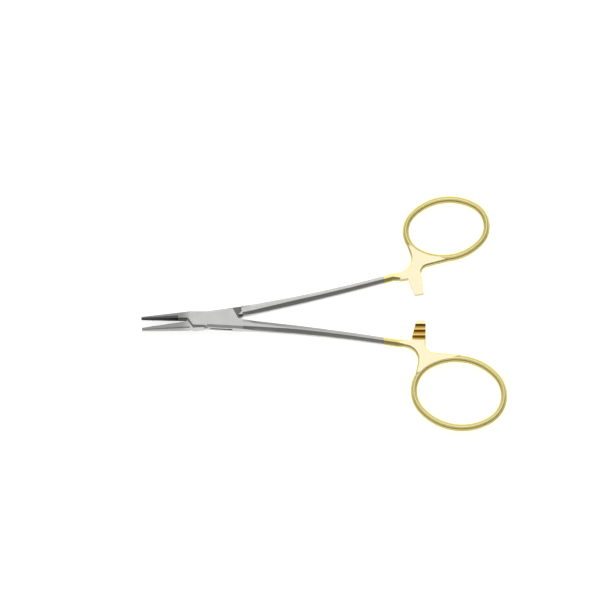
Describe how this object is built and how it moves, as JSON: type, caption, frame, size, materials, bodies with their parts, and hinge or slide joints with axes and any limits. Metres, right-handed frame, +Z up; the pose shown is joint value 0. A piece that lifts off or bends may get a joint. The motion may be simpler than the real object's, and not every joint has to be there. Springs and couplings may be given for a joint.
{
  "type": "surgical needle holder",
  "caption": "Needle holder with box lock, carbide jaw inserts, ratchet arms and gold-plated finger rings, shown slightly open.",
  "frame": {"origin": "middle of the lock pin on the underside of the box", "axes": "+X from the box towards the finger rings, +Y towards the ring of the tongue half, +Z up through the box"},
  "size_m": [0.128, 0.0849, 0.0046],
  "materials": {
    "satin_steel": "satin, with gold plating on rings, webs and ratchet arms",
    "pin_steel": "satin, ground flush with the box",
    "tungsten_carbide": "dark fine-grained carbide, serrated face"
  },
  "bodies": {
    "box_side": {"box_half": "satin_steel", "lock_pin": "pin_steel", "upper_jaw_insert": "tungsten_carbide"},
    "tongue_side": {"tongue_half": "satin_steel", "lower_jaw_insert": "tungsten_carbide"}
  },
  "joints": [
    {"name": "box_lock_hinge", "type": "hinge", "parent": "box_side", "child": "tongue_side", "pos_m": [0, 0, 0.0023], "axis": [0, 0, 1], "range_deg": [-7.4, 38]}
  ]
}
